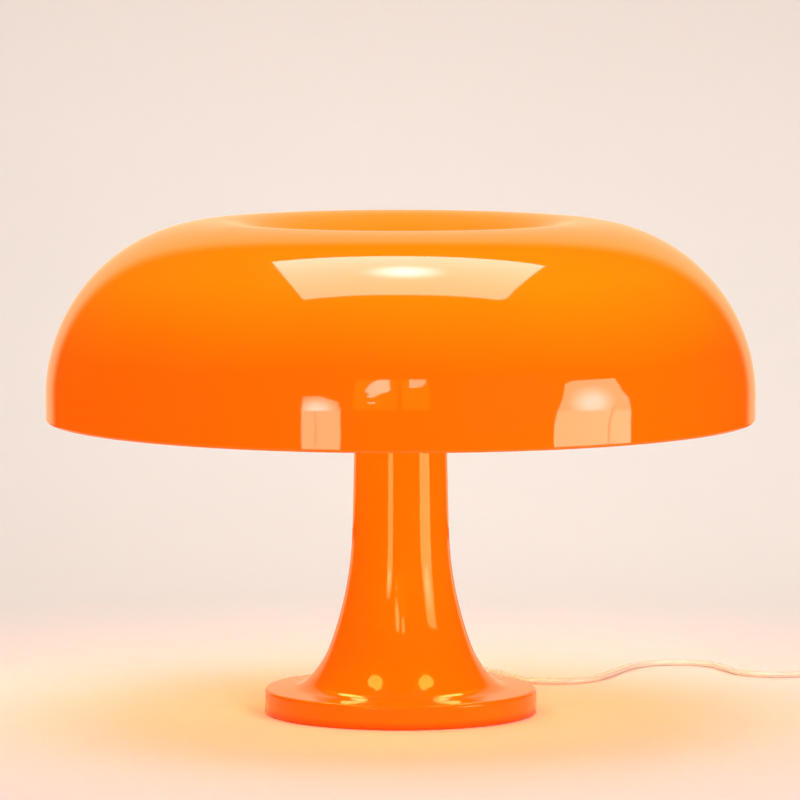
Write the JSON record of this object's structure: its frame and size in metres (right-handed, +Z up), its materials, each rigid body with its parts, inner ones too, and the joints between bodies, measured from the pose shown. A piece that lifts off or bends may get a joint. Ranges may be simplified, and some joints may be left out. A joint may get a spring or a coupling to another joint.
{
  "type": "mushroom table lamp",
  "caption": "Mushroom table lamp: glossy dished dome shade on a flared stem with a round base, radial bulbs under the shade, clear mains cord with rocker switch and plug.",
  "frame": {"origin": "centre of the base's underside, on the surface it stands on", "axes": "+Z up the stem, -Y the front as pictured, +Y the side where the cord leaves"},
  "size_m": [0.5067, 0.32, 0.223],
  "materials": {
    "orange_plastic": "glossy moulded shell",
    "knob_plastic": "glossy turned knob",
    "cover_steel": "satin black sheet",
    "screw_steel": "zinc plated",
    "foot_rubber": "matte",
    "ballast_iron": "cast, dark",
    "rod_steel": "threaded, zinc plated",
    "drum_white": "white enamel",
    "gasket_rubber": "matte",
    "brass_parts": "turned brass",
    "holder_plastic": "moulded thermoset",
    "bulb_glass": "frosted, lit warm",
    "bulb_cap_metal": "rolled screw cap",
    "filament_glass": "clear mount",
    "filament": "glowing",
    "block_plastic": "moulded nylon",
    "lead_brown": "brown sleeve",
    "lead_blue": "blue sleeve",
    "cord_clear": "clear sleeve over copper",
    "gland_plastic": "clear moulded relief",
    "switch_plastic": "smooth pale moulding",
    "rocker_plastic": "smooth pale moulding",
    "contact_brass": "stamped",
    "plug_plastic": "moulded plug",
    "pin_metal": "nickel plated"
  },
  "bodies": {
    "root": {"shade": "orange_plastic", "stem_base": "orange_plastic", "base_cover": "cover_steel", "cover_screws": "screw_steel", "foot_pads": "foot_rubber", "ballast": "ballast_iron", "threaded_rod": "rod_steel", "rod_nuts": "screw_steel", "rod_washers": "screw_steel", "lampholder_drum": "drum_white", "drum_lid": "drum_white", "seat_gasket": "gasket_rubber", "terminal_block": "block_plastic", "terminal_screws": "screw_steel", "leads_live": "lead_brown", "leads_neutral": "lead_blue", "cord_gland": "gland_plastic", "cord_inside": "cord_clear", "cord_to_switch": "cord_clear", "cord_to_coil": "cord_clear", "cord_coil": "cord_clear", "cord_to_plug": "cord_clear", "switch_lower": "switch_plastic", "switch_upper": "switch_plastic", "switch_screws": "screw_steel", "switch_contacts": "contact_brass", "plug_body": "plug_plastic", "plug_pins": "pin_metal", "centre_contacts": "contact_brass", "holder_nipples": "brass_parts", "holder_nuts": "brass_parts", "filament_mounts": "filament_glass", "filaments": "filament", "lampholder_body_1": "holder_plastic", "lampholder_shell_1": "contact_brass", "bulb_cap_1": "bulb_cap_metal", "bulb_glass_1": "bulb_glass", "lampholder_body_2": "holder_plastic", "lampholder_shell_2": "contact_brass", "bulb_cap_2": "bulb_cap_metal", "bulb_glass_2": "bulb_glass", "lampholder_body_3": "holder_plastic", "lampholder_shell_3": "contact_brass", "bulb_cap_3": "bulb_cap_metal", "bulb_glass_3": "bulb_glass", "lampholder_body_4": "holder_plastic", "lampholder_shell_4": "contact_brass", "bulb_cap_4": "bulb_cap_metal", "bulb_glass_4": "bulb_glass"},
    "knob_carrier": {"knob_washer": "screw_steel"},
    "knob": {"shade_knob": "knob_plastic", "knob_insert": "brass_parts"},
    "rocker": {"switch_rocker": "rocker_plastic"}
  },
  "joints": [
    {"name": "knob_rise", "type": "slide", "parent": "root", "child": "knob_carrier", "axis": [0, 0, 1], "range_m": [0, 0.003]},
    {"name": "knob_turn", "type": "hinge", "parent": "knob_carrier", "child": "knob", "pos_m": [0, 0, 0.1862], "axis": [0, 0, 1], "range_deg": [0, 1080]},
    {"name": "rocker_tilt", "type": "hinge", "parent": "root", "child": "rocker", "pos_m": [0.254, 0.064, 0.011], "axis": [1, 0, 0], "range_deg": [0, 14]}
  ],
  "couplings": [
    {"joint": "knob_turn", "follows": "knob_rise", "rad_per_m": 6283.2}
  ]
}
